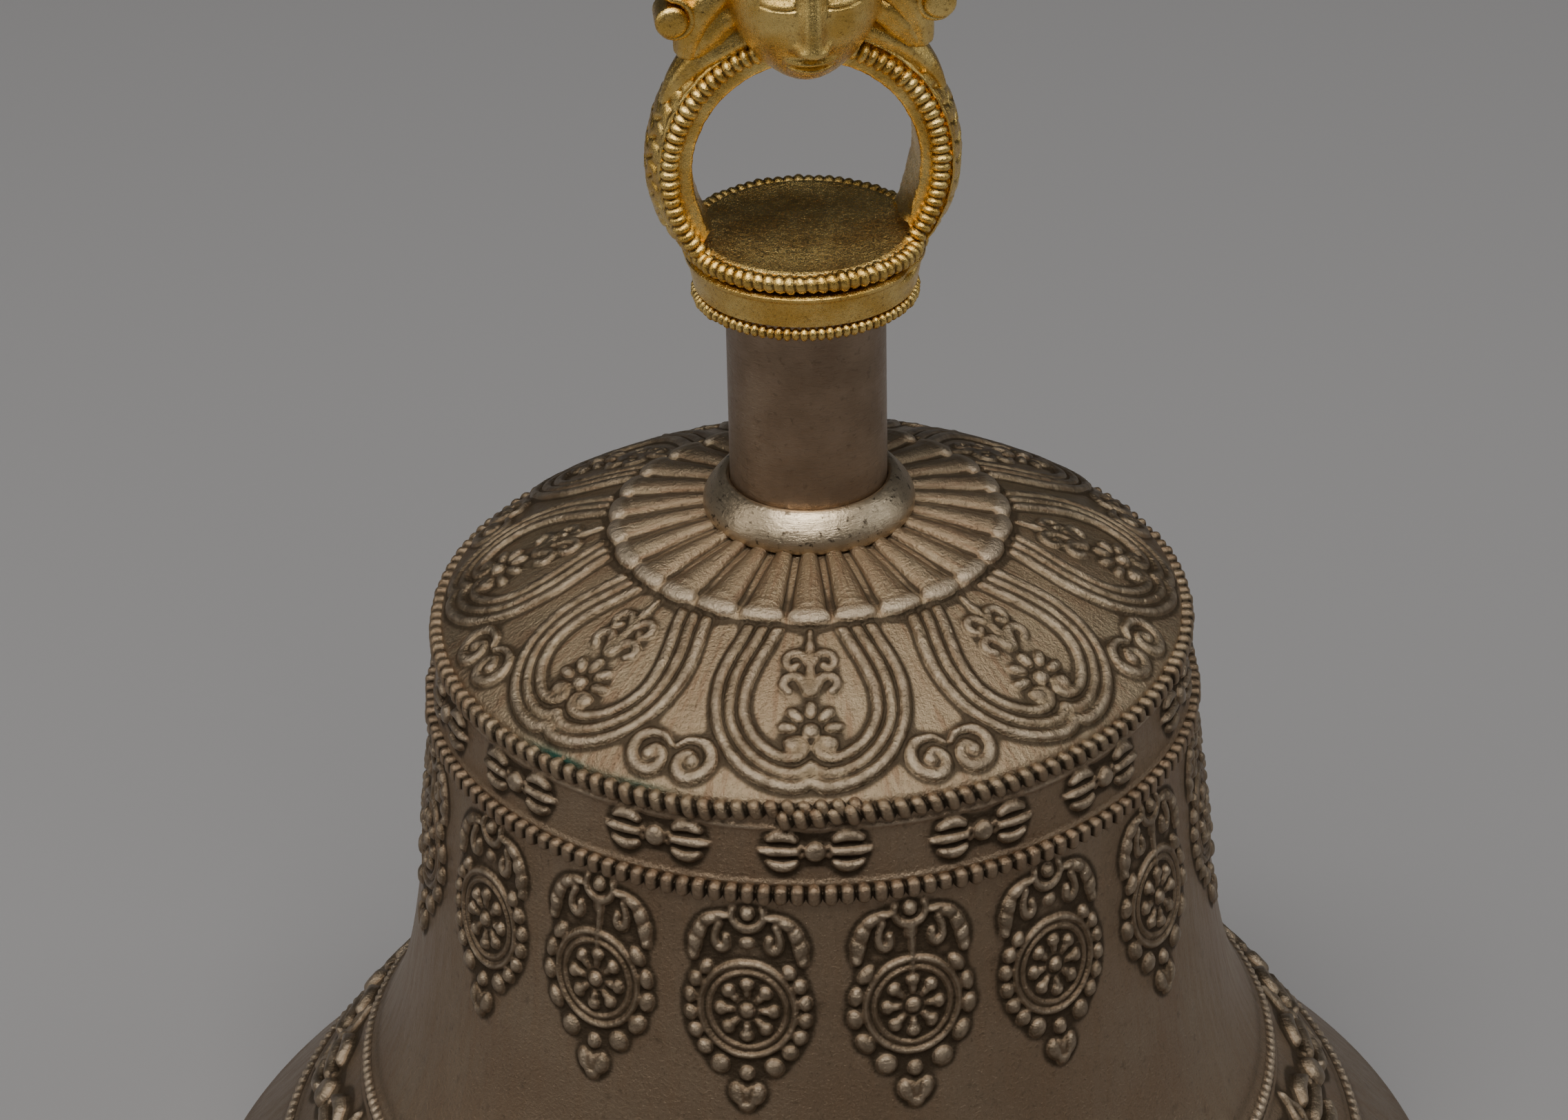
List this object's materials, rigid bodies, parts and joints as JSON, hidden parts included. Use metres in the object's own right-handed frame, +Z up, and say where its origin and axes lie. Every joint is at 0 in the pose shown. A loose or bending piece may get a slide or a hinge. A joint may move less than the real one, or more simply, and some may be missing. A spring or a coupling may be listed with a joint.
{
  "type": "tibetan hand bell",
  "caption": "Ritual hand bell: flared cast bell with relief ornament, gilded ring-and-prong handle, free swinging clapper inside.",
  "frame": {"origin": "centre of the mouth's plane, on the bell's axis", "axes": "+Z up along the handle's axis, the face on the handle looks along -Y"},
  "size_m": [0.108, 0.108, 0.191],
  "materials": {
    "bell_metal": "aged brown-grey bell bronze, satin, dark patina in the recesses",
    "neck_metal": "brushed brown-grey bronze",
    "gilt": "bright gilding over fine grain",
    "steel": "plain worn steel",
    "clapper_metal": "dull cast brass, polished where it strikes"
  },
  "bodies": {
    "bell": {"bell_body": "bell_metal", "collar_ring": "bell_metal", "neck_tube": "neck_metal", "cap_band": "gilt", "cap_foot_beading": "gilt", "cap_plate": "gilt", "cap_top_beading": "gilt", "bow_ring": "gilt", "bow_beading_front": "gilt", "bow_beading_back": "gilt", "head": "gilt", "crown": "gilt", "scroll_left": "gilt", "scroll_right": "gilt", "topknot": "gilt", "lotus_lower": "gilt", "lotus_knop": "gilt", "lotus_upper": "gilt", "moon_disc": "gilt", "prong_hub": "gilt", "prong_1": "gilt", "prong_2": "gilt", "prong_3": "gilt", "prong_4": "gilt", "prong_5": "gilt", "prong_6": "gilt", "prong_7": "gilt", "prong_8": "gilt", "centre_prong": "gilt", "finial": "gilt", "eye_bolt": "steel", "bolt_washer": "steel", "lock_nut": "steel"},
    "clapper_link": {"clapper_link": "steel"},
    "clapper": {"clapper_rod": "clapper_metal", "clapper_ball": "clapper_metal"}
  },
  "joints": [
    {"name": "link_swing", "type": "hinge", "parent": "bell", "child": "clapper_link", "pos_m": [0, 0, 0.0596], "axis": [0, 1, 0], "range_deg": [-7, 7]},
    {"name": "clapper_swing", "type": "hinge", "parent": "clapper_link", "child": "clapper", "pos_m": [0, 0, 0.05353], "axis": [1, 0, 0], "range_deg": [-38, 38]}
  ]
}
